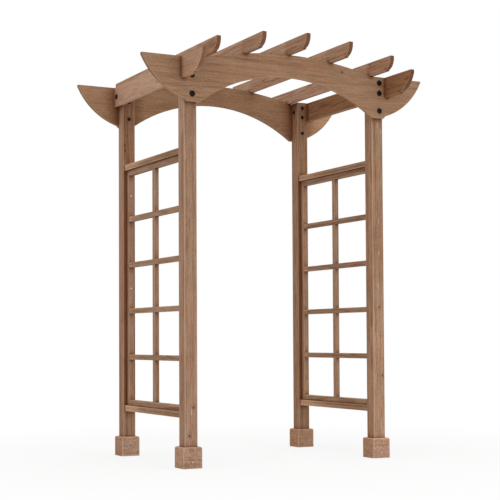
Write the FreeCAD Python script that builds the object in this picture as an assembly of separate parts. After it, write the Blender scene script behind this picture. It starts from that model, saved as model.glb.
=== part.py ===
import FreeCAD
import Part
import math
import os

# Garden arbor in softwood: four posts on boxed feet, two arched beams bolted to the
# faces of the posts, seven rafters across the beams and a lattice panel on each side.
# +X runs along the beams, +Y from front to back, +Z up. The origin is on the ground
# at the middle of the four posts. All sizes are in millimetres.

# Posts
post_size = 70.0
post_height = 2043.0
post_spacing_x = 1110.0
post_spacing_y = 804.0
post_edge_radius = 4.0
post_top_chamfer = 2.0

# Boxed feet, four boards round each post
foot_board_thickness = 16.5
foot_height = 106.0
foot_top_radius = 9.0

# Arched beams
beam_thickness = 25.0
beam_depth = 222.0
beam_tail_length = 270.0
beam_arris = 2.0
arch_top_rise = 65.0
arch_top_setback = 10.0
arch_underside_rise = 170.0
underside_setback = 7.0
tail_nib = 8.0
tail_step = 13.0
tail_bulge = 32.0

# Side rafters, which cross the beam tails at the posts' outer faces
rafter_thickness = 25.0
rafter_arris = 2.0
rafter_nib = 14.0
side_rafter_depth = 109.0
side_rafter_tail = 303.0
side_rafter_end_reach = 100.0
side_rafter_end_bulge = 18.0
side_rafter_step = 6.0

# Top rafters, which sit on the arch
top_rafter_count = 5
top_rafter_depth = 73.0
top_rafter_tail = 261.0
top_rafter_end_reach = 42.0
top_rafter_end_bulge = 11.0
top_rafter_step = 6.0
top_rafter_post_clearance = 2.5
top_rafter_seat_depth = 1.5

# Rails between the two posts of a side
rail_width = 52.0
rail_height = 32.0
rail_edge_radius = 3.0
bottom_rail_underside = 246.0
top_rail_underside = 1571.0

# Lattice panel between the rails
lattice_frame_width = 30.0
lattice_frame_thickness = 30.0
lattice_bar_width = 28.0
lattice_bar_thickness = 26.0
lattice_arris = 1.5
cross_bar_count = 4
cross_bar_drop = 3.5

# Places that follow from the sizes above
post_x = post_spacing_x / 2
post_y = post_spacing_y / 2
half_post = post_size / 2
post_inner_x = post_x - half_post
post_outer_x = post_x + half_post
post_inner_y = post_y - half_post
post_outer_y = post_y + half_post
beam_underside = post_height - beam_depth
arch_half_span = post_inner_x - arch_top_setback
side_rafter_underside = post_height - side_rafter_depth
side_lap_height = post_height - side_rafter_depth / 2
end_rafter_x = post_inner_x - top_rafter_post_clearance - rafter_thickness / 2
lattice_base = bottom_rail_underside + rail_height

# How near a direction or a height is to count as the same
same_direction = 0.999
same_height = 0.01

SIDES = {"left": -1, "right": 1}
ENDS = {"front": -1, "back": 1}

pieces = {}


def vector(x, y, z):
    return FreeCAD.Vector(x, y, z)


def block(x_range, y_range, z_range):
    """Plain block between its lowest and highest corner."""
    low = vector(x_range[0], y_range[0], z_range[0])
    high = vector(x_range[1], y_range[1], z_range[1])
    size = high - low
    return Part.makeBox(size.x, size.y, size.z, low)


def centred(middle, width):
    """Range of a width about its middle."""
    return (middle - width / 2, middle + width / 2)


def outward(side, near, far):
    """Range from near to far on the negative or the positive side of the middle."""
    return (near, far) if side > 0 else (-far, -near)


def edges_along(shape, axis):
    """Straight edges of a shape that run along one axis."""
    found = []
    for edge in shape.Edges:
        run = edge.Vertexes[-1].Point - edge.Vertexes[0].Point
        if edge.Curve.TypeId == "Part::GeomLine" and abs(run.dot(axis)) > same_direction * run.Length:
            found.append(edge)
    return found


def rounded_timber(x_range, y_range, z_range, axis, radius):
    """Timber whose long edges are rounded."""
    timber = block(x_range, y_range, z_range)
    return timber.makeFillet(radius, edges_along(timber, axis))


def planed_timber(x_range, y_range, z_range, axis, arris):
    """Timber whose long edges are planed off at 45 degrees."""
    timber = block(x_range, y_range, z_range)
    return timber.makeChamfer(arris, edges_along(timber, axis))


def top_edges(shape, height):
    """Edges of a shape that lie at its top."""
    return [edge for edge in shape.Edges if edge.BoundBox.ZMin > height - same_height]


def outline_board(outline, along, arris):
    """Board with the given outline, with the arrises of both its faces planed off."""
    board = Part.Face(outline).extrude(along)
    rim = []
    for face in board.Faces:
        if abs(face.normalAt(0, 0).dot(along)) > same_direction * along.Length:
            rim.extend(face.Edges)
    return board.makeChamfer(arris, rim)


def bulged_arc(start, end, bulge, outwards):
    """Arc from start to end whose middle stands out from the straight line."""
    across = (end - start).cross(outwards)
    away = across.cross(end - start)
    away.normalize()
    return Part.Arc(start, (start + end) * 0.5 + away * bulge, end).toShape()


def straight(*points):
    """Straight edges that join the points in turn."""
    return [Part.makeLine(start, end) for start, end in zip(points, points[1:])]


def arch(spring, rise):
    """Arc from a point to its mirror image across x = 0, with its crown above the two."""
    crown = vector(0, spring.y, spring.z + rise)
    return Part.Arc(spring, crown, vector(-spring.x, spring.y, spring.z)).toShape()


def closed_outline(end, middle, across):
    """Outline made of one end of a board, the mirror image of it, and what joins the two."""
    other_end = [edge.mirror(vector(0, 0, 0), across) for edge in end]
    return Part.Wire(Part.sortEdges(end + other_end + middle)[0])


def arch_top_at(x):
    """Height of a beam's top edge at a distance from the middle."""
    if abs(x) >= arch_half_span:
        return post_height
    radius = (arch_half_span ** 2 + arch_top_rise ** 2) / (2 * arch_top_rise)
    return post_height + arch_top_rise - radius + math.sqrt(radius ** 2 - x ** 2)


def top_rafter_places():
    """Middle and underside of each top rafter, from left to right."""
    places = []
    for index in range(top_rafter_count):
        x = -end_rafter_x + index * 2 * end_rafter_x / (top_rafter_count - 1)
        outer_edge = abs(x) + rafter_thickness / 2
        places.append((x, arch_top_at(outer_edge) - top_rafter_seat_depth))
    return places


def make_posts():
    for end, sign_y in ENDS.items():
        for side, sign_x in SIDES.items():
            x_range = centred(sign_x * post_x, post_size)
            y_range = centred(sign_y * post_y, post_size)
            post = rounded_timber(x_range, y_range, (0, post_height), vector(0, 0, 1), post_edge_radius)
            post = post.makeChamfer(post_top_chamfer, top_edges(post, post_height))
            pieces[f"{end}_{side}_post"] = post


def make_feet():
    """Each foot is a rounded sleeve split into two wide boards and two short ones."""
    foot_size = post_size + 2 * foot_board_thickness
    for end, sign_y in ENDS.items():
        for side, sign_x in SIDES.items():
            x, y = sign_x * post_x, sign_y * post_y
            outer = block(centred(x, foot_size), centred(y, foot_size), (0, foot_height))
            outer = outer.makeFillet(foot_top_radius, top_edges(outer, foot_height))
            post_hole = block(centred(x, post_size), centred(y, post_size), (0, foot_height))
            sleeve = outer.cut(post_hole)
            short_part = block(centred(x, foot_size), centred(y, post_size), (0, foot_height))
            pieces[f"{end}_{side}_foot_wide_boards"] = sleeve.cut(short_part)
            pieces[f"{end}_{side}_foot_short_boards"] = sleeve.common(short_part)


def beam_outline():
    """Outline of a beam in the plane y = 0: level tails, an arched middle and curved ends."""
    flat_end_x = post_outer_x - underside_setback
    spring = vector(post_inner_x - underside_setback, 0, beam_underside)
    flat_end = vector(flat_end_x, 0, beam_underside)
    step_top = vector(flat_end_x + tail_step, 0, beam_underside + tail_step)
    tip = vector(post_x + beam_tail_length, 0, post_height)
    nib_bottom = tip - vector(0, 0, tail_nib)
    shoulder = vector(arch_half_span, 0, post_height)
    end = straight(spring, flat_end, step_top)
    end.append(bulged_arc(step_top, nib_bottom, tail_bulge, vector(1, 0, -1)))
    end += straight(nib_bottom, tip, shoulder)
    middle = [arch(shoulder, arch_top_rise), arch(spring, arch_underside_rise)]
    return closed_outline(end, middle, vector(1, 0, 0))


def make_beams():
    """The beams lie on the posts' outer faces, cut for the side rafters and seated for the top ones."""
    blank = outline_board(beam_outline(), vector(0, beam_thickness, 0), beam_arris)
    full_depth = (0, beam_thickness)
    above = post_height + arch_top_rise + top_rafter_depth
    for sign_x in SIDES.values():
        slot = outward(sign_x, post_outer_x, post_outer_x + rafter_thickness)
        blank = blank.cut(block(slot, full_depth, (side_lap_height, above)))
    for x, underside in top_rafter_places():
        blank = blank.cut(block(centred(x, rafter_thickness), full_depth, (underside, above)))
    for end, sign_y in ENDS.items():
        beam = blank.copy()
        beam.translate(vector(0, outward(sign_y, post_outer_y, post_outer_y + beam_thickness)[0], 0))
        pieces[f"{end}_arch_beam"] = beam


def rafter_outline(half_length, underside, depth, reach, bulge, step):
    """Outline of a rafter in the plane x = 0, with a nib, a curve and a step at each end."""
    tip = vector(0, half_length, underside + depth)
    nib_bottom = tip - vector(0, 0, rafter_nib)
    step_top = vector(0, half_length - reach, underside + step)
    flat_end = vector(0, half_length - reach - step, underside)
    end = straight(flat_end, step_top)
    end.append(bulged_arc(step_top, nib_bottom, bulge, vector(0, 1, -1)))
    end += straight(nib_bottom, tip)
    middle = []
    for corner in (tip, flat_end):
        middle += straight(corner, vector(0, -corner.y, corner.z))
    return closed_outline(end, middle, vector(0, 1, 0))


def make_side_rafters():
    """Each side rafter lies on the posts' outer faces and is half-lapped over both beams."""
    half_length = post_y + side_rafter_tail
    outline = rafter_outline(
        half_length, side_rafter_underside, side_rafter_depth,
        side_rafter_end_reach, side_rafter_end_bulge, side_rafter_step,
    )
    board = outline_board(outline, vector(rafter_thickness, 0, 0), rafter_arris)
    for sign_y in ENDS.values():
        lap = outward(sign_y, post_outer_y, post_outer_y + beam_thickness)
        board = board.cut(block((0, rafter_thickness), lap, (side_rafter_underside, side_lap_height)))
    for side, sign_x in SIDES.items():
        rafter = board.copy()
        rafter.translate(vector(outward(sign_x, post_outer_x, post_outer_x + rafter_thickness)[0], 0, 0))
        pieces[f"{side}_side_rafter"] = rafter


def make_top_rafters():
    half_length = post_y + top_rafter_tail
    for number, (x, underside) in enumerate(top_rafter_places(), start=1):
        outline = rafter_outline(
            half_length, underside, top_rafter_depth,
            top_rafter_end_reach, top_rafter_end_bulge, top_rafter_step,
        )
        rafter = outline_board(outline, vector(rafter_thickness, 0, 0), rafter_arris)
        rafter.translate(vector(x - rafter_thickness / 2, 0, 0))
        pieces[f"top_rafter_{number}"] = rafter


def make_rails():
    """The rails are butted between the inner faces of the two posts of a side."""
    for side, sign_x in SIDES.items():
        levels = {"bottom": bottom_rail_underside, "top": top_rail_underside}
        for level, underside in levels.items():
            pieces[f"{side}_{level}_rail"] = rounded_timber(
                centred(sign_x * post_x, rail_width), (-post_inner_y, post_inner_y),
                (underside, underside + rail_height), vector(0, 1, 0), rail_edge_radius,
            )


def make_lattice(side, x):
    """A frame of four bars, one upright, and cross bars half-lapped over the upright's left face.

    The cross bars hang a little below an even division, by cross_bar_drop.
    """
    frame_x = centred(x, lattice_frame_thickness)
    bar_x = centred(x, lattice_bar_thickness)
    inner_y = post_inner_y - lattice_frame_width
    inner_z = (lattice_base + lattice_frame_width, top_rail_underside - lattice_frame_width)
    along_y, along_z = vector(0, 1, 0), vector(0, 0, 1)
    for end, sign_y in ENDS.items():
        pieces[f"{side}_lattice_{end}_stile"] = planed_timber(
            frame_x, outward(sign_y, inner_y, post_inner_y),
            (lattice_base, top_rail_underside), along_z, lattice_arris,
        )
    levels = {"bottom": (lattice_base, inner_z[0]), "top": (inner_z[1], top_rail_underside)}
    for level, z_range in levels.items():
        pieces[f"{side}_lattice_{level}_bar"] = planed_timber(
            frame_x, (-inner_y, inner_y), z_range, along_y, lattice_arris,
        )
    upright_y = centred(0, lattice_bar_width)
    upright = planed_timber(bar_x, upright_y, inner_z, along_z, lattice_arris)
    pitch = (inner_z[1] - inner_z[0] + lattice_frame_width) / (cross_bar_count + 1)
    for number in range(1, cross_bar_count + 1):
        bar_height = inner_z[0] - lattice_frame_width / 2 + number * pitch - cross_bar_drop
        bar_z = centred(bar_height, lattice_bar_width)
        bar = planed_timber(bar_x, (-inner_y, inner_y), bar_z, along_y, lattice_arris)
        bar = bar.cut(block((x, bar_x[1]), upright_y, bar_z))
        upright = upright.cut(block((bar_x[0], x), upright_y, bar_z))
        pieces[f"{side}_lattice_cross_bar_{number}"] = bar
    pieces[f"{side}_lattice_upright"] = upright


def main():
    make_posts()
    make_feet()
    make_beams()
    make_side_rafters()
    make_top_rafters()
    make_rails()
    for side, sign_x in SIDES.items():
        make_lattice(side, sign_x * post_x)
    os.makedirs("parts", exist_ok=True)
    for name, shape in pieces.items():
        shape.exportStep(f"parts/{name}.step")
        print(name, len(shape.Solids), round(shape.Volume / 1e6, 3), shape.isValid())


main()
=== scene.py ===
import math
import random
import bpy
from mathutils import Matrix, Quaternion, Vector


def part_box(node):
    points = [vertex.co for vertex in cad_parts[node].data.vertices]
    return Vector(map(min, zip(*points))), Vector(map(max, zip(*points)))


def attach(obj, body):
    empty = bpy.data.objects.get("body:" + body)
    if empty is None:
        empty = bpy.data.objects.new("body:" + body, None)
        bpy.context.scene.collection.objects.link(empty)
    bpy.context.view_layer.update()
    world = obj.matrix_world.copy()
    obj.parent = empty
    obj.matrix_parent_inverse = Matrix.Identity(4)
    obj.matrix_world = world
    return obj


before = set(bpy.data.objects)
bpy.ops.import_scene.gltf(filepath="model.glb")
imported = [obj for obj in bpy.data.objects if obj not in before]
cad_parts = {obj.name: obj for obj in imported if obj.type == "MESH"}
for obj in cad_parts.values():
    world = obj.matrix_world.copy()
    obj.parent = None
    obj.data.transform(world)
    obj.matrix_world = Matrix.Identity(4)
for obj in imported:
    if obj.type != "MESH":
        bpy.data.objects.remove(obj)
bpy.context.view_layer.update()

BODY = "root"

# Signs of X on the left and right, and of Y at the front and back
LEFT_AND_RIGHT = (-1, 1)
FRONT_AND_BACK = (-1, 1)

# Places that the joinery takes from the frame, in metres
post_low, post_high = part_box("front_left_post")
post_middle = (post_low + post_high) / 2
post_x = abs(post_middle.x)
post_y = abs(post_middle.y)
post_inner_x = abs(post_high.x)
post_inner_y = abs(post_high.y)
beam_face_y = abs(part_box("front_arch_beam")[0].y)
rafter_face_x = abs(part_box("left_side_rafter")[0].x)
stile_low, stile_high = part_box("left_lattice_front_stile")
foot_face_y = abs(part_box("front_left_foot_wide_boards")[0].y)
foot_half_width = foot_face_y - post_y

# Bolts, nuts, screws and nails
beam_bolt_heights = (2.011, 1.955, 1.860)
rafter_bolt_height = 1.988
bolt_head_diameter = 0.030
nut_washer_diameter = 0.019
stile_screw_heights = (0.404, 0.919, 1.430)
screw_head_diameter = 0.0085
foot_nail_heights = (0.030, 0.086)
foot_nail_stagger = 0.006
nail_head_diameter = 0.0075
head_sides = 24

# Their heads as rings from the wood outwards: outline, radius and height, as shares of the diameter
bolt_head_rings = (
    ("round", 0.50, 0.0), ("round", 0.50, 0.035), ("round", 0.475, 0.06),
    ("round", 0.43, 0.10), ("round", 0.37, 0.145), ("round", 0.28, 0.18),
    ("round", 0.21, 0.192), ("six_sided", 0.165, 0.192), ("six_sided", 0.155, 0.09),
)
washer_and_nut_rings = (
    ("round", 0.50, 0.0), ("round", 0.50, 0.06), ("round", 0.46, 0.08),
    ("six_sided", 0.345, 0.08), ("six_sided", 0.345, 0.38), ("round", 0.33, 0.43),
    ("round", 0.22, 0.43), ("round", 0.22, 0.56), ("round", 0.18, 0.60),
)
screw_head_rings = (
    ("round", 0.50, 0.0), ("round", 0.50, 0.04), ("round", 0.44, 0.07),
    ("cross", 0.30, 0.07), ("cross", 0.24, 0.02),
)
nail_head_rings = (
    ("round", 0.50, 0.0), ("round", 0.50, 0.05), ("round", 0.42, 0.10), ("round", 0.22, 0.13),
)
cross_narrowing = 6
sharp_edge_angle = 35

# Their coating or bare steel, which is lighter and rougher in small scuffs
scuff_waves = (380, 380, 380)
scuff_edge = (0.35, 0.75)
scuff_brightness = 1.5
scuff_lift = 0.01
scuff_roughness = 0.2

# Photograph's camera
camera_place = (-3.2171, -6.1567, 0.6387)
camera_yaw = 0.48216
camera_pitch = 0.03752
camera_roll = -0.00539
focal_length_pixels = 1270.6
picture_side_pixels = 500
principal_row = 291.08
sensor_width = 36.0
view_depth = 60.0

# Floor and light; a level of 1 shows a colour as it is written
floor_half_width = 14.0
floor_drop = 0.0005
floor_grey = (0.6, 0.6, 0.6, 1)
floor_roughness = 0.9
shadow_floor_grey = (0.7, 0.7, 0.7, 1)
floor_white_share = 0.8
shadow_fade = (1.0, 3.0)
sky_tint = (1.0, 0.99, 0.975, 1)
sky_level = 0.98
plain_white = (1, 1, 1, 1)
lamp_target = (0, 0, 1.3)
overhead_lamp = {"place": (-0.4, -0.8, 6.0), "size": 3.0, "power": 105}
front_lamp = {"place": (1.2, -6.6, 2.4), "size": 1.6, "power": 55}


def stain(red, green, blue):
    """Linear colour of a tone given as the picture's 0 to 255 numbers."""
    linear = []
    for number in (red, green, blue):
        share = number / 255
        linear.append(share / 12.92 if share <= 0.04045 else ((share + 0.055) / 1.055) ** 2.4)
    return (*linear, 1.0)


# Stained softwood
early_wood = stain(170, 138, 114)
late_wood = stain(121, 87, 61)
end_grain = stain(98, 59, 35)
knot_wood = stain(88, 54, 35)
# Pale tan of light scars, of worn arrises and of the painted highlight on arrises and foot corners
highlight_and_wear_tan = stain(212, 174, 143)
# Dark brown of the painted shade in inner corners and beside the stiles
painted_corner_shade = stain(104, 50, 11)
red_tint = (1.05, 0.93, 0.84, 1)
wood_gloss = 0.15
wood_roughness = 0.64
fibre_roughness = 0.18

# Small change of tone from board to board, for the whole colour and for its green and blue
tone_range = (0.96, 1.04)
green_range = (0.985, 1.01)
blue_range = (0.97, 1.02)

# Relief: fibres and flecks stand up, late wood and knots lie deeper
relief_strength = 0.35
relief_depth = 0.0007
fibre_height = 0.5
fleck_height = 0.3
late_wood_dip = 0.5
knot_dip = 0.6

# How squarely a face looks along an axis, from not at all to fully
looking_edge = (0.6, 0.9)
cut_end_edge = (0.2, 0.6)
upward_edge = (0.3, 0.6)
rail_side_edge = (0.7, 1.0)

# Log that a board was sawn from: how far its heart lies from the board's middle, and its bends
thin_board = 0.05
nearest_heart = 0.045
farthest_heart_of_thin_board = 0.075
farthest_heart = 0.055
sideways_share = 0.4
log_start = (3, 9)
sway_waves = (0.8, 0.8, 0.9)
sway_width = 0.05

# Growth rings, with the shares of a ring in which its late wood sets in and ends
ring_pitch = 0.0042
unrest_waves = (30, 30, 3)
ring_unrest = 0.9
knot_push = 2.2
late_wood_start = (0.25, 0.88)
late_wood_end = (0.9, 1.0)
waves_to_the_ring = 0.33
palest_ring = 0.15
year_share = 0.7
year_weight = 0.6

# Marks in the wood: waves to the metre across and along the grain, detail and roughness of the
# noise, and how much it darkens. Grain marks are weaker where a board's grain is faint.
grain_marks = {
    "fleck": (160, 11, 2.0, 0.5, 1.0),
    "line": (95, 0.9, 2.0, 0.5, 1.0),
    "streak": (58, 2.6, 2.0, 0.5, 0.7),
}
plain_marks = {
    "fibre": (520, 14, 3.0, 0.6, 0.7),
    "grit": (230, 110, 1.0, 0.5, 0.8),
    "cloud": (7, 1.6, 2.0, 0.5, 0.5),
}
foot_marks = {
    "speckle": (150, 110, 2.0, 0.5, 1.2),
    "blotch": (55, 45, 2.0, 0.5, 0.5),
}
base_darkness = 0.38
full_darkness = 1.15

# Reddish places of the wood
red_waves = (24, 24, 6)
red_edge = (0.45, 0.75)
red_strengths = {"foot": 0.2}
plain_red_strength = 0.8

# Boards that are lighter or darker than the rest, partly by their stain and partly by painted light and
# shade, as shares of red, green and blue
board_stain_and_light_tones = {
    "left_side_rafter": (1.40, 1.42, 1.48),
    "right_side_rafter": (0.93, 0.90, 0.86),
    "front_arch_beam": (0.92, 0.893, 0.85),
    "back_arch_beam": (1.0, 0.955, 0.875),
    "back_right_post": (0.86, 0.83, 0.78),
    "front_left_foot": (1.20, 1.24, 1.32),
    "front_right_foot": (1.33, 1.33, 1.44),
    "back_left_foot": (1.40, 1.48, 1.62),
    "back_right_foot": (1.16, 1.13, 1.15),
    "rail": (0.94, 0.90, 0.84),
    "cross_bar": (0.93, 0.91, 0.88),
}

# How far the painted shade spreads from a board's inner corners, and how dark it is there
corner_reaches = {"back_arch_beam": 0.09, "front_arch_beam": 0.02, "top_rafter": 0.028}
plain_corner_reach = 0.035
corner_strengths = {"top_rafter": 1.0, "front_arch_beam": 0.9}
plain_corner_strength = 0.7
corner_samples = 8
corner_gain = 1.9
# Strength of the painted shade beside the lattice stiles on the posts
beside_stile_shade_strength = 0.45

# How strongly a board's rings and grain marks show
grain_strengths = {
    "foot": 0.35,
    "back_arch_beam": 0.45,
    "front_arch_beam": 0.62,
    "left_side_rafter": 0.55,
}
mean_grain = 0.13

# How dark the late wood of the growth rings is; below 0 it is lighter than the rest
ring_shares = {"front_arch_beam": -0.5}
plain_ring_share = 0.6
mean_ring = 0.22

# Ways that a face looks: its axis and sign
LEFT = ("x", -1)
FRONT = ("y", -1)
DOWN = ("z", -1)

# The parts of a rafter on each side of its front seat: axis, and where a change of tone starts and
# is full
OVER_WALKWAY = ("y", -0.46, -0.42)
FRONT_TAIL = ("y", -0.42, -0.46)

# Lighter and darker places of the boards, mostly painted light and shade on faces and places that get
# more or less light, partly the wood's tone: the way a face looks or None for all of them, then the
# place of the change or None for the whole face, then the tone
light_and_tone_patches = {
    "top_rafter_1": (
        # Painted light on the rafter between the beams
        (None, OVER_WALKWAY, (1.22, 1.22, 1.24)),
        (None, FRONT_TAIL, (1.12, 1.02, 0.95)),
    ),
    "top_rafter": (
        # Painted light on the rafters between the beams
        (None, OVER_WALKWAY, (1.22, 1.22, 1.24)),
        (None, FRONT_TAIL, (0.99, 0.94, 0.89)),
    ),
    "left_side_rafter": ((None, FRONT_TAIL, (0.92, 0.91, 0.87)),),
    "right_side_rafter": (
        # Painted shade on the face that looks to -X
        (LEFT, None, (0.94, 0.83, 0.70)),
        (None, FRONT_TAIL, (0.90, 0.86, 0.81)),
    ),
    # Painted light on the underside of the front beam
    "front_arch_beam": ((DOWN, None, (1.50, 1.49, 1.46)),),
    "back_arch_beam": (
        (None, ("x", 0.58, 0.63), (1.32, 1.32, 1.33)),
        (None, ("x", -0.68, -0.62), (0.95, 0.93, 0.91)),
        (None, ("x", -0.60, -0.58), (1.05, 1.08, 1.10)),
        (None, ("x", -0.12, -0.04), (0.88, 0.86, 0.84)),
        (None, ("x", 0.24, 0.30), (1.12, 1.14, 1.15)),
    ),
    "back_left_post": (
        # Painted shadow on the top of the front face, under the rafters
        (FRONT, ("z", 1.60, 1.64), (0.775, 0.66, 0.57)),
        (LEFT, None, (1.02, 0.94, 0.88)),
        (LEFT, ("z", 1.60, 1.75), (1.12, 1.15, 1.16)),
    ),
    "back_right_post": ((None, ("z", 1.40, 1.60), (0.96, 0.92, 0.90)),),
    "front_left_post": (
        (LEFT, ("z", 1.60, 1.75), (1.20, 1.20, 1.22)),
        (FRONT, ("z", 1.60, 1.75), (0.85, 0.82, 0.80)),
        (FRONT, ("z", 0.90, 0.50), (1.08, 1.08, 1.12)),
    ),
    "front_right_post": (
        (LEFT, None, (1.045, 0.975, 0.93)),
        (FRONT, ("z", 0.95, 0.50), (1.32, 1.34, 1.42)),
    ),
    # Painted light and shade on the faces of the feet that look to -X
    "front_left_foot": ((LEFT, None, (1.07, 1.054, 1.0)),),
    "front_right_foot": ((LEFT, None, (0.943, 0.876, 0.791)),),
    "back_left_foot": ((LEFT, None, (0.823, 0.716, 0.667)),),
    "back_right_foot": ((LEFT, None, (1.062, 1.0, 0.883)),),
    # Painted light on the rails' -X faces towards the back posts
    "rail": ((LEFT, ("y", 0.0, 0.34), (1.65, 1.70, 1.78)),),
    # Painted light on the ends of the cross bars over the stiles
    "cross_bar": ((LEFT, ("y", 0.28, 0.33), (1.38, 1.38, 1.38)),),
}

# How much of the dark end grain shows on sawn ends
end_strengths = {"foot": 0.1, "beam": 0.12, "rafter": 0.7}
plain_end_strength = 0.8
soaked_length = 0.004
soaked_strength = 0.4

# Arrises: lighter by wear and by a painted highlight, or dark where those of the beams and rafters look
# up
highlight_and_wear_by_kind = {"foot": 0.5}
arris_highlight_and_wear = 0.2
fleck_highlight_and_wear = 0.6
upper_arris_strength = 0.8
foot_arris = 0.005
# Painted highlight on the upright corners of the feet
foot_corner_highlight_strength = 0.28

# Few knots at random places: cells to the metre, how many of them hold a knot, and its edges
knot_cells = 7.5
cells_with_knot = 0.12
knot_edge = (0.022, 0.055)
knot_halo_edge = (0.04, 0.24)
knot_halo_strength = 0.35

# Knots that the photo shows on front faces: how far along X and up
seen_knots = {
    "front_left_post": ((-0.543, 0.300), (-0.567, 0.160)),
    "front_right_post": ((0.575, 0.440), (0.559, 0.804)),
    "back_left_post": ((-0.580, 1.712), (-0.578, 1.686)),
    "front_arch_beam": ((0.322, 2.048),),
}

# Knots on the faces that look to -X: how far along Y and up
seen_side_knots = {
    "top_rafter_5": ((-0.466, 2.103), (-0.617, 2.053)),
    "right_side_rafter": ((-0.606, 1.944),),
}
seen_knot_edge = (0.0025, 0.0055)
seen_halo_edge = (0.003, 0.02)
seen_halo_share = 0.7
squeeze_along_grain = 0.55

# Short light scars on front faces: how far along X and up
seen_scars = {
    "front_left_post": ((-0.554, 0.278),),
    "front_right_post": (
        (0.559, 1.268), (0.560, 1.096), (0.558, 1.788), (0.577, 1.751), (0.555, 0.921),
    ),
}
scar_edge = (0.0015, 0.0045)
scar_squeeze = (1, 1, 0.2)
scar_strength = 0.6


class Value:
    """Socket of a node tree; the ones that hold numbers take part in Python expressions."""

    def __init__(self, tree, socket):
        self.tree = tree
        self.socket = socket

    def math(self, operation, other=0.0, reflected=False):
        pair = (other, self) if reflected else (self, other)
        return self.tree.node("ShaderNodeMath", {"operation": operation}, {0: pair[0], 1: pair[1]})

    def __add__(self, other):
        return self.math("ADD", other)

    def __radd__(self, other):
        return self.math("ADD", other, reflected=True)

    def __sub__(self, other):
        return self.math("SUBTRACT", other)

    def __rsub__(self, other):
        return self.math("SUBTRACT", other, reflected=True)

    def __mul__(self, other):
        return self.math("MULTIPLY", other)

    def __rmul__(self, other):
        return self.math("MULTIPLY", other, reflected=True)

    def __truediv__(self, other):
        return self.math("DIVIDE", other)

    def absolute(self):
        return self.math("ABSOLUTE")

    def fraction(self):
        return self.math("FRACT")

    def below(self, limit):
        """1 where the value is below the limit, otherwise 0."""
        return self.math("LESS_THAN", limit)

    def larger(self, other):
        return self.math("MAXIMUM", other)

    def ramp(self, low, high):
        """Smooth step from 0 at low to 1 at high."""
        settings = {"interpolation_type": "SMOOTHSTEP"}
        inputs = {"Value": self, "From Min": low, "From Max": high}
        return self.tree.node("ShaderNodeMapRange", settings, inputs)


class NodeTree:
    """Node tree that is built with one call for each node."""

    def __init__(self, tree):
        self.nodes = tree.nodes
        self.links = tree.links

    def node(self, kind, settings=None, inputs=None, output=0):
        """Adds a node: its settings first, then the values or links of its sockets."""
        made = self.nodes.new(kind)
        for name, setting in (settings or {}).items():
            setattr(made, name, setting)
        for key, given in (inputs or {}).items():
            self.feed(self.find(made.inputs, key), given)
        return Value(self, self.find(made.outputs, output))

    @staticmethod
    def find(sockets, key):
        """Socket by its place or by its identifier."""
        if isinstance(key, int):
            return sockets[key]
        return next(socket for socket in sockets if socket.identifier == key)

    def feed(self, socket, given):
        """Links a value to a socket, or sets the socket to a plain number or colour."""
        if isinstance(given, Value):
            self.links.new(given.socket, socket)
        else:
            socket.default_value = given

    def vector(self, operation, first, second=(0, 0, 0), output=0):
        return self.node("ShaderNodeVectorMath", {"operation": operation}, {0: first, 1: second}, output)


class Finish(NodeTree):
    """Material with a Principled shader at its end."""

    def __init__(self, name):
        self.material = bpy.data.materials.new(name)
        self.material.use_nodes = True
        super().__init__(self.material.node_tree)
        self.shader = self.nodes["Principled BSDF"]

    def surface(self, **parts):
        """Feeds sockets of the Principled shader, named with _ for each space."""
        for name, given in parts.items():
            self.feed(self.shader.inputs[name.replace("_", " ")], given)

    def split(self, vector):
        """The three numbers of a vector or colour."""
        parts = self.node("ShaderNodeSeparateXYZ", {}, {0: vector}).socket.node
        return [Value(self, socket) for socket in parts.outputs]

    def mix(self, factor, first, second, blend="MIX"):
        """Colour mixed from two colours."""
        settings = {"data_type": "RGBA", "blend_type": blend}
        inputs = {"Factor_Float": factor, "A_Color": first, "B_Color": second}
        return self.node("ShaderNodeMix", settings, inputs, "Result_Color")

    def noise(self, place, stretch, detail=2.0, roughness=0.5, output="Fac"):
        """Noise from 0 to 1 with so many waves to the metre along each axis."""
        waves = self.vector("MULTIPLY", place, stretch)
        inputs = {"Vector": waves, "Scale": 1.0, "Detail": detail, "Roughness": roughness}
        return self.node("ShaderNodeTexNoise", {}, inputs, output)


# Turn that takes the finish's third axis to the board's grain
GRAIN_TURNS = {"x": (0, math.pi / 2, 0), "y": (-math.pi / 2, 0, 0), "z": (0, 0, 0)}


def grain_axis(name):
    """The grain runs along the longest side of a board's box, but round the foot on its boards."""
    if "foot_wide" in name:
        return "x"
    if "foot_short" in name:
        return "y"
    low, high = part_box(name)
    size = high - low
    return max("xyz", key=lambda axis: getattr(size, axis))


def of_kind(table, name, otherwise):
    """What a table gives for the first of its kinds that a board's name holds."""
    return next((given for kind, given in table.items() if kind in name), otherwise)


def board_tone(name, draw):
    """Colour that a board's wood is multiplied with: its kind's tone, partly stain and partly painted
    light and shade, and a small change of its own.
    """
    red, green, blue = of_kind(board_stain_and_light_tones, name, (1, 1, 1))
    tone = draw.uniform(*tone_range)
    green_tone = tone * draw.uniform(*green_range)
    blue_tone = tone * draw.uniform(*blue_range)
    return (red * tone, green * green_tone, blue * blue_tone, 1)


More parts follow.
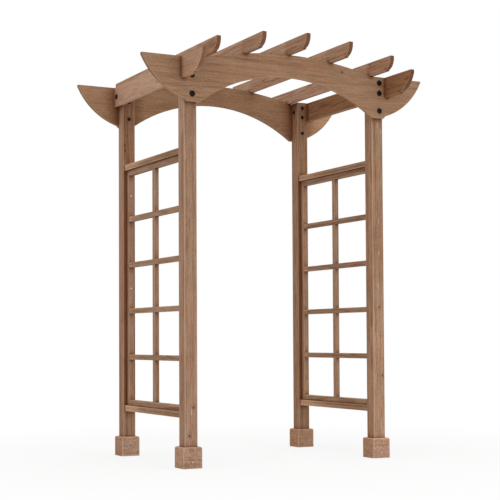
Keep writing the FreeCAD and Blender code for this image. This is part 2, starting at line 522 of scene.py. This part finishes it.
class Timber(Finish):
    """Stained softwood of one board, worked out from the board's box."""

    def __init__(self, name):
        super().__init__(name + "_timber")
        self.name = name
        self.draw = random.Random(name)
        self.low, self.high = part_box(name)
        self.size = self.high - self.low
        self.grain = grain_axis(name)
        across = [axis for axis in "xyz" if axis != self.grain]
        self.thin = min(across, key=lambda axis: getattr(self.size, axis))
        self.wide = across[1] if self.thin == across[0] else across[0]
        self.surface_place = self.node("ShaderNodeTexCoord", output="Object")
        self.along = dict(zip("xyz", self.split(self.surface_place)))
        facing = self.node("ShaderNodeNewGeometry", output="True Normal")
        self.facings = dict(zip("xyz", self.split(facing)))
        turn = GRAIN_TURNS[self.grain]
        inputs = {"Vector": self.surface_place, "Location": self.pith(), "Rotation": turn}
        self.place = self.node("ShaderNodeMapping", {"vector_type": "TEXTURE"}, inputs)

    def pith(self):
        """Heart of the log, which lies outside the board, across its wide face."""
        heart = (self.low + self.high) / 2
        is_thin = getattr(self.size, self.thin) < thin_board
        farthest = farthest_heart_of_thin_board if is_thin else farthest_heart
        aside = self.draw.choice((-1, 1)) * self.draw.uniform(nearest_heart, farthest)
        setattr(heart, self.thin, getattr(heart, self.thin) + aside)
        sideways = self.draw.uniform(-sideways_share, sideways_share) * getattr(self.size, self.wide)
        setattr(heart, self.wide, getattr(heart, self.wide) + sideways)
        setattr(heart, self.grain, getattr(heart, self.grain) + self.draw.uniform(*log_start))
        return heart

    def length(self, vector, squeeze):
        """Length of a vector whose parts along each axis are squeezed first."""
        return self.vector("LENGTH", self.vector("MULTIPLY", vector, squeeze), output="Value")

    def from_pith(self):
        """Distance from the heart of the log, which is not quite straight."""
        sway = self.noise(self.place, sway_waves, output="Color")
        sway = self.vector("SUBTRACT", sway, (0.5, 0.5, 0.5))
        sway = self.vector("MULTIPLY", sway, (sway_width, sway_width, 0))
        return self.length(self.vector("ADD", self.place, sway), (1, 1, 0))

    def rings(self, knot_halo):
        """Late wood of each growth ring, and how the years differ."""
        unrest = self.noise(self.place, unrest_waves)
        rings = self.from_pith() / ring_pitch + unrest * ring_unrest + knot_halo * knot_push
        phase = rings.fraction()
        late = phase.ramp(*late_wood_start) * (1 - phase.ramp(*late_wood_end))
        ring_number = self.node("ShaderNodeCombineXYZ", {}, {"X": rings * waves_to_the_ring})
        return late, self.noise(ring_number, (1, 1, 1))

    def marks(self, table):
        """Noises of a table of marks by their names, and how much they darken the wood."""
        noises = {}
        darkening = 0.0
        for kind, (across, along, detail, roughness, weight) in table.items():
            waves = (across, across, along)
            noises[kind] = self.noise(self.place, waves, detail, roughness)
            darkening = (noises[kind] - 0.5) * weight + darkening
        return noises, darkening

    def knots(self):
        """Cores of the few knots, and the wood round them that they push aside."""
        inputs = {"Vector": self.place, "Scale": knot_cells, "Randomness": 1.0}
        distance = self.node("ShaderNodeTexVoronoi", {}, inputs, "Distance")
        cell = self.split(Value(self, distance.socket.node.outputs["Color"]))[0]
        present = cell.below(cells_with_knot)
        core = (1 - distance.ramp(*knot_edge)) * present
        halo = (1 - distance.ramp(*knot_halo_edge)) * present
        squeeze = [squeeze_along_grain if axis == self.grain else 1.0 for axis in "xyz"]
        places = [(x, self.low.y, z) for x, z in seen_knots.get(self.name, ())]
        places += [(self.low.x, y, z) for y, z in seen_side_knots.get(self.name, ())]
        for place in places:
            away = self.length(self.vector("SUBTRACT", self.surface_place, place), squeeze)
            core = core.larger(1 - away.ramp(*seen_knot_edge))
            halo = halo.larger((1 - away.ramp(*seen_halo_edge)) * seen_halo_share)
        return core, halo

    def scars(self):
        """Light scars on the front faces, each a few millimetres wide and long along the grain."""
        mask = 0.0
        for x, z in seen_scars.get(self.name, ()):
            from_scar = self.vector("SUBTRACT", self.surface_place, (x, self.low.y, z))
            mask = (1 - self.length(from_scar, scar_squeeze).ramp(*scar_edge)).larger(mask)
        return mask

    def cut_end(self):
        """1 on the sawn ends, 0 on the faces along the grain."""
        return self.facings[self.grain].absolute().ramp(*cut_end_edge)

    def near_end(self):
        """Narrow band next to the board's ends, where the stain soaked in."""
        middle = (getattr(self.low, self.grain) + getattr(self.high, self.grain)) / 2
        to_end = getattr(self.size, self.grain) / 2 - (self.along[self.grain] - middle).absolute()
        return 1 - to_end.ramp(0.0, soaked_length)

    def corner(self):
        """Painted shade in the inner corners next to other boards, but not next to the floor."""
        reach = of_kind(corner_reaches, self.name, plain_corner_reach)
        settings = {"samples": corner_samples}
        openness = self.node("ShaderNodeAmbientOcclusion", settings, {"Distance": reach}, "AO")
        mask = (1 - openness) * corner_gain * self.along["z"].ramp(0.0, reach)
        if "rail" in self.name:
            mask = (1 - self.facings["x"].absolute().ramp(*rail_side_edge)) * mask
        return mask * of_kind(corner_strengths, self.name, plain_corner_strength)

    def arris(self):
        """1 half-way round the eased edges between a board's wide and narrow faces."""
        side_on = self.facings[self.thin].absolute()
        return side_on * (1 - side_on) * 4

    def foot_corner_highlight(self):
        """Narrow bands at the four upright corners of a foot, a painted highlight."""
        corner = 1.0
        for axis, middle in (("x", post_x), ("y", post_y)):
            from_middle = (self.along[axis].absolute() - middle).absolute()
            face = foot_half_width - foot_arris
            corner = from_middle.ramp(face - foot_arris, face + foot_arris) * corner
        return corner

    def looking(self, axis, sign):
        """1 on the faces that look along an axis, to its plus or minus side."""
        return (self.facings[axis] * sign).ramp(*looking_edge)

    def patch(self, side, change):
        """Mask of a lighter or darker place, mostly painted light and shade, as a row of the table gives
        it.
        """
        mask = 1.0
        if change:
            axis, start, full = change
            mask = self.along[axis].ramp(start, full)
        if side:
            mask = self.looking(*side) * mask
        return mask

    def beside_stiles(self):
        """Painted shade on the strips of a post's inner face on both sides of the lattice stile."""
        height = self.along["z"]
        along_stile = (1 - height.below(stile_low.z)) * height.below(stile_high.z)
        inward = -1 if self.low.y > 0 else 1
        return self.looking("y", inward) * along_stile


def timber_finish(name):
    """Stained softwood: growth rings that run through the board, fibres, knots, arrises lightened by
    wear and painted highlight, and painted light and shade on some faces and in inner corners.
    """
    finish = Timber(name)
    knot_core, knot_halo = finish.knots()
    late, years = finish.rings(knot_halo)
    grain, grain_darkening = finish.marks(grain_marks)
    plain, plain_darkening = finish.marks(plain_marks)

    ring_share = of_kind(ring_shares, name, plain_ring_share)
    rings = late * (years * year_share + palest_ring) * ring_share
    rings = rings + (plain_ring_share - ring_share) * mean_ring + (years - 0.5) * year_weight
    grain_strength = of_kind(grain_strengths, name, 1.0)
    darkness = (rings + grain_darkening) * grain_strength + mean_grain * (1 - grain_strength)
    darkness = darkness + plain_darkening + base_darkness
    if "foot" in name:
        darkness = darkness + finish.marks(foot_marks)[1]
    wood = finish.mix(darkness.ramp(0.0, full_darkness), early_wood, late_wood)

    red = finish.noise(finish.place, red_waves, detail=3.0).ramp(*red_edge)
    redness = red * of_kind(red_strengths, name, plain_red_strength)
    wood = finish.mix(redness, wood, red_tint, "MULTIPLY")
    wood = finish.mix(knot_halo * knot_halo_strength, wood, late_wood)
    if name in seen_scars:
        wood = finish.mix(finish.scars() * scar_strength, wood, highlight_and_wear_tan)
    wood = finish.mix(knot_core, wood, knot_wood)
    end_strength = of_kind(end_strengths, name, plain_end_strength)
    wood = finish.mix(finish.cut_end() * end_strength, wood, end_grain)

    arris = finish.arris()
    if "beam" in name or "rafter" in name:
        upward = finish.facings["z"].ramp(*upward_edge)
        wood = finish.mix(arris * upward * upper_arris_strength, wood, end_grain)
        arris = arris * (1 - upward)
    # Arrises lightened towards pale tan: painted highlight where edges catch the light, and wear
    wear = (arris_highlight_and_wear + grain["fleck"] * fleck_highlight_and_wear) * of_kind(highlight_and_wear_by_kind, name, 1.0)
    wood = finish.mix(arris * wear, wood, highlight_and_wear_tan)
    # Feet get a painted highlight on their upright corners, other boards a darker band at their ends
    if "foot" in name:
        wood = finish.mix(finish.foot_corner_highlight() * foot_corner_highlight_strength, wood, highlight_and_wear_tan)
    else:
        wood = finish.mix(finish.near_end() * soaked_strength, wood, end_grain)

    # Each board's tone, which holds painted light and shade as well as its stain
    wood = finish.mix(1.0, wood, board_tone(name, finish.draw), "MULTIPLY")
    # Lighter and darker places: mostly painted light and shade, partly the wood's tone
    for side, change, tone in of_kind(light_and_tone_patches, name, ()):
        wood = finish.mix(finish.patch(side, change), wood, (*tone, 1), "MULTIPLY")
    # Painted shade in the inner corners next to other boards
    wood = finish.mix(finish.corner(), wood, painted_corner_shade)
    # Painted shade on the posts beside the lattice stiles
    if "post" in name:
        wood = finish.mix(finish.beside_stiles() * beside_stile_shade_strength, wood, painted_corner_shade)

    relief = plain["fibre"] * fibre_height + grain["fleck"] * fleck_height
    relief = relief - late * late_wood_dip - knot_core * knot_dip
    inputs = {"Strength": relief_strength, "Distance": relief_depth, "Height": relief}
    finish.surface(
        Base_Color=wood,
        Roughness=wood_roughness + plain["fibre"] * fibre_roughness,
        Normal=finish.node("ShaderNodeBump", {}, inputs),
        Specular_IOR_Level=wood_gloss,
    )
    return finish.material


def metal_finish(name, colour, roughness, metallic=0.0, gloss=0.5):
    """Coated or bare steel, slightly uneven."""
    finish = Finish(name)
    place = finish.node("ShaderNodeTexCoord", output="Object")
    wear = finish.noise(place, scuff_waves, detail=3.0, roughness=0.6)
    scuffed = [min(1.0, part * scuff_brightness + scuff_lift) for part in colour[:3]] + [1.0]
    finish.surface(
        Base_Color=finish.mix(wear.ramp(*scuff_edge), colour, scuffed),
        Roughness=roughness + (wear - 0.5) * scuff_roughness,
        Metallic=metallic,
        Specular_IOR_Level=gloss,
    )
    return finish.material


def dress_boards():
    """Gives each board a finish of its own."""
    for name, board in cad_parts.items():
        board.material_slots[0].material = timber_finish(name)


def outline_share(kind, angle):
    """Share of a ring's radius at an angle, for a round, six-sided or cross-shaped outline."""
    if kind == "six_sided":
        sixth = math.pi / 3
        return 1 / math.cos(angle % sixth - sixth / 2)
    if kind == "cross":
        return max(abs(math.cos(angle)), abs(math.sin(angle))) ** cross_narrowing
    return 1.0


def turned_head(name, rings):
    """Closed head of unit diameter about +Z; each ring is its outline, its radius and its height."""
    points = []
    for kind, radius, height in rings:
        for step in range(head_sides):
            angle = 2 * math.pi * step / head_sides
            reach = radius * outline_share(kind, angle)
            points.append((reach * math.cos(angle), reach * math.sin(angle), height))
    faces = []
    for ring in range(len(rings) - 1):
        for step in range(head_sides):
            beside = (step + 1) % head_sides
            start, above = ring * head_sides, (ring + 1) * head_sides
            faces.append((start + step, start + beside, above + beside, above + step))
    last = (len(rings) - 1) * head_sides
    faces.append(tuple(reversed(range(head_sides))))
    faces.append(tuple(range(last, last + head_sides)))
    mesh = bpy.data.meshes.new(name)
    mesh.from_pydata(points, [], faces)
    mesh.shade_smooth()
    mesh.set_sharp_from_angle(angle=math.radians(sharp_edge_angle))
    return bpy.data.objects.new(name, mesh)


def fixing_tree():
    """Geometry nodes that set a fixing on each place, its axis outwards and turned at random."""
    group = bpy.data.node_groups.new("fixings_on_places", "GeometryNodeTree")
    sockets = (
        ("Places", "INPUT", "NodeSocketGeometry"),
        ("Fixing", "INPUT", "NodeSocketObject"),
        ("Diameter", "INPUT", "NodeSocketFloat"),
        ("Turn seed", "INPUT", "NodeSocketInt"),
        ("Metal", "INPUT", "NodeSocketMaterial"),
        ("Fixings", "OUTPUT", "NodeSocketGeometry"),
    )
    for name, way, kind in sockets:
        group.interface.new_socket(name=name, in_out=way, socket_type=kind)
    tree = NodeTree(group)
    given = tree.nodes.new("NodeGroupInput").outputs
    places, fixing, diameter, seed, metal = [Value(tree, given[index]) for index in range(5)]

    head = tree.node("GeometryNodeObjectInfo", {}, {"Object": fixing}, "Geometry")
    settings = {"data_type": "FLOAT_VECTOR"}
    outward = tree.node("GeometryNodeInputNamedAttribute", settings, {"Name": "outward"})
    aimed = tree.node("FunctionNodeAlignRotationToVector", {"axis": "Z"}, {"Vector": outward})
    inputs = {"Min_001": 0.0, "Max_001": math.pi, "Seed": seed}
    angle = tree.node("FunctionNodeRandomValue", {"data_type": "FLOAT"}, inputs, "Value_001")
    angles = tree.node("ShaderNodeCombineXYZ", {}, {"Z": angle})
    turn = tree.node("FunctionNodeEulerToRotation", {}, {"Euler": angles})
    inputs = {"Rotation": aimed, "Rotate By": turn}
    turned = tree.node("FunctionNodeRotateRotation", {"rotation_space": "LOCAL"}, inputs)
    inputs = {"Points": places, "Instance": head, "Rotation": turned, "Scale": diameter}
    placed = tree.node("GeometryNodeInstanceOnPoints", {}, inputs)
    solid = tree.node("GeometryNodeRealizeInstances", {}, {"Geometry": placed})
    finished = tree.node("GeometryNodeSetMaterial", {}, {"Geometry": solid, "Material": metal})
    result = tree.nodes.new("NodeGroupOutput")
    tree.links.new(finished.socket, result.inputs[0])
    return group


def set_fixings(name, tree, places, head, diameter, metal, seed):
    """One mesh with a head on each (place, outward direction)."""
    mesh = bpy.data.meshes.new(name)
    mesh.from_pydata([place for place, outward in places], [], [])
    outward_directions = mesh.attributes.new("outward", "FLOAT_VECTOR", "POINT")
    for point, (place, outward) in zip(outward_directions.data, places):
        point.vector = outward
    piece = bpy.data.objects.new(name, mesh)
    bpy.context.scene.collection.objects.link(piece)
    modifier = piece.modifiers.new("fixings", "NODES")
    modifier.node_group = tree
    settings = {"Fixing": head, "Diameter": diameter, "Turn seed": seed, "Metal": metal}
    for socket in tree.interface.items_tree:
        if socket.name in settings:
            modifier[socket.identifier] = settings[socket.name]
    depsgraph = bpy.context.evaluated_depsgraph_get()
    solid = bpy.data.meshes.new_from_object(piece.evaluated_get(depsgraph), depsgraph=depsgraph)
    piece.modifiers.clear()
    piece.data = solid
    solid.name = name
    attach(piece, BODY)


def make_fixings():
    """Black bolts and nuts at the tops of the posts, screws in the stiles and nails in the feet."""
    tree = fixing_tree()
    black = metal_finish("black_coated_steel", stain(11, 9, 6), roughness=0.5, gloss=0.1)
    dark_nut = metal_finish("dark_steel", stain(24, 13, 6), roughness=0.6, gloss=0.1)
    zinc = metal_finish("zinc_plated_steel", stain(205, 182, 160), roughness=0.45, metallic=0.6)
    stained_over = metal_finish("stained_over_steel", stain(128, 90, 62), roughness=0.7, gloss=0.3)
    domed_head = turned_head("domed_bolt_head", bolt_head_rings)
    washer_and_nut = turned_head("washer_and_nut", washer_and_nut_rings)
    screw_head = turned_head("countersunk_screw_head", screw_head_rings)
    nail_head = turned_head("nail_head", nail_head_rings)
    bolt_places = []
    nut_places = []
    screw_places = {"bright": [], "stained": []}
    nail_places = {"bright": [], "stained": []}
    draw = random.Random("foot nails")
    for sign_y in FRONT_AND_BACK:
        for sign_x in LEFT_AND_RIGHT:
            x = sign_x * post_x
            y = sign_y * post_y
            for height in beam_bolt_heights:
                bolt_places.append(((x, sign_y * beam_face_y, height), (0, sign_y, 0)))
                nut_places.append(((x, sign_y * post_inner_y, height), (0, -sign_y, 0)))
            bolt_places.append(((sign_x * rafter_face_x, y, rafter_bolt_height), (sign_x, 0, 0)))
            nut_places.append(((sign_x * post_inner_x, y, rafter_bolt_height), (-sign_x, 0, 0)))
            for height in stile_screw_heights:
                bright = sign_x < 0 < sign_y and height > stile_screw_heights[0]
                screw = ((x, sign_y * abs(stile_high.y), height), (0, -sign_y, 0))
                screw_places["bright" if bright else "stained"].append(screw)
            for height in foot_nail_heights:
                nail_x = x + draw.uniform(-foot_nail_stagger, foot_nail_stagger)
                nail = ((nail_x, sign_y * foot_face_y, height), (0, sign_y, 0))
                bright = height == foot_nail_heights[0]
                nail_places["bright" if bright else "stained"].append(nail)
    fixings = (
        ("bolt_heads", bolt_places, domed_head, bolt_head_diameter, black),
        ("nuts", nut_places, washer_and_nut, nut_washer_diameter, dark_nut),
        ("bright_screws", screw_places["bright"], screw_head, screw_head_diameter, zinc),
        ("stained_screws", screw_places["stained"], screw_head, screw_head_diameter, stained_over),
        ("bright_nails", nail_places["bright"], nail_head, nail_head_diameter, zinc),
        ("stained_nails", nail_places["stained"], nail_head, nail_head_diameter, stained_over),
    )
    heads = (domed_head, washer_and_nut, screw_head, nail_head)
    for head in heads:
        bpy.context.scene.collection.objects.link(head)
    for seed, (name, places, head, diameter, metal) in enumerate(fixings):
        set_fixings(name, tree, places, head, diameter, metal, seed)
    for head in heads:
        bpy.data.objects.remove(head)
    bpy.data.node_groups.remove(tree)


def white_for_camera(tree, lit, white):
    """Mixes a lit shader with plain white for camera, glossy and transmission rays."""
    rays = tree.node("ShaderNodeLightPath").socket.node.outputs
    kinds = ("Camera", "Glossy", "Transmission")
    seen = [Value(tree, rays[f"Is {kind} Ray"]) for kind in kinds]
    factor = seen[0].larger(seen[1]).larger(seen[2])
    return tree.node("ShaderNodeMixShader", {}, {0: factor, 1: lit, 2: white})


def make_world():
    """Even light from all round, and a white background where it is seen."""
    world = bpy.data.worlds.new("soft_studio")
    world.use_nodes = True
    bpy.context.scene.world = world
    tree = NodeTree(world.node_tree)
    tree.nodes.clear()
    lit = tree.node("ShaderNodeBackground", {}, {"Color": sky_tint, "Strength": sky_level})
    white = tree.node("ShaderNodeBackground", {}, {"Color": plain_white, "Strength": 1.0})
    output = tree.nodes.new("ShaderNodeOutputWorld")
    tree.links.new(white_for_camera(tree, lit, white).socket, output.inputs["Surface"])


def make_floor():
    """Plain floor that the camera sees as white, with the object's soft shadow near the feet."""
    half = floor_half_width
    mesh = bpy.data.meshes.new("floor")
    corners = ((-half, -half), (half, -half), (half, half), (-half, half))
    mesh.from_pydata([(x, y, -floor_drop) for x, y in corners], [], [(0, 1, 2, 3)])
    floor = bpy.data.objects.new("floor", mesh)
    bpy.context.scene.collection.objects.link(floor)
    finish = Finish("pale_floor")
    finish.surface(Base_Color=floor_grey, Roughness=floor_roughness, Specular_IOR_Level=0.0)
    lit = Value(finish, finish.shader.outputs[0])
    pale = finish.node("ShaderNodeBsdfDiffuse", {}, {"Color": shadow_floor_grey})
    white = finish.node("ShaderNodeEmission", {}, {"Color": plain_white, "Strength": 1.0})
    place = finish.node("ShaderNodeTexCoord", output="Object")
    faded = finish.vector("LENGTH", place, output="Value").ramp(*shadow_fade)
    whiteness = floor_white_share + faded * (1 - floor_white_share)
    fading = finish.node("ShaderNodeMixShader", {}, {0: whiteness, 1: pale, 2: white})
    shown = white_for_camera(finish, lit, fading)
    finish.links.new(shown.socket, finish.nodes["Material Output"].inputs["Surface"])
    mesh.materials.append(finish.material)


def make_lamp(name, place, size, power):
    """Square soft lamp that faces the arch."""
    lamp_data = bpy.data.lights.new(name, "AREA")
    lamp_data.shape = "SQUARE"
    lamp_data.size = size
    lamp_data.energy = power
    lamp = bpy.data.objects.new(name, lamp_data)
    lamp.location = place
    lamp.rotation_euler = (Vector(lamp_target) - Vector(place)).to_track_quat("-Z", "Y").to_euler()
    bpy.context.scene.collection.objects.link(lamp)


def make_camera():
    """Camera of the photograph, fitted to the posts' edges, the feet and the bolts."""
    camera_data = bpy.data.cameras.new("camera")
    camera_data.sensor_width = sensor_width
    camera_data.lens = focal_length_pixels / picture_side_pixels * sensor_width
    camera_data.shift_y = (principal_row - picture_side_pixels / 2) / picture_side_pixels
    camera_data.clip_end = view_depth
    camera = bpy.data.objects.new("camera", camera_data)
    camera.location = camera_place
    forward = Vector((
        math.sin(camera_yaw) * math.cos(camera_pitch),
        math.cos(camera_yaw) * math.cos(camera_pitch),
        math.sin(camera_pitch),
    ))
    camera.rotation_mode = "QUATERNION"
    camera.rotation_quaternion = forward.to_track_quat("-Z", "Y")
    camera.rotation_quaternion.rotate(Quaternion(forward, -camera_roll))
    bpy.context.scene.collection.objects.link(camera)
    bpy.context.scene.camera = camera


dress_boards()
make_fixings()
make_world()
make_floor()
make_lamp("overhead_softbox", **overhead_lamp)
make_lamp("front_softbox", **front_lamp)
make_camera()
bpy.context.scene.view_settings.view_transform = "Standard"
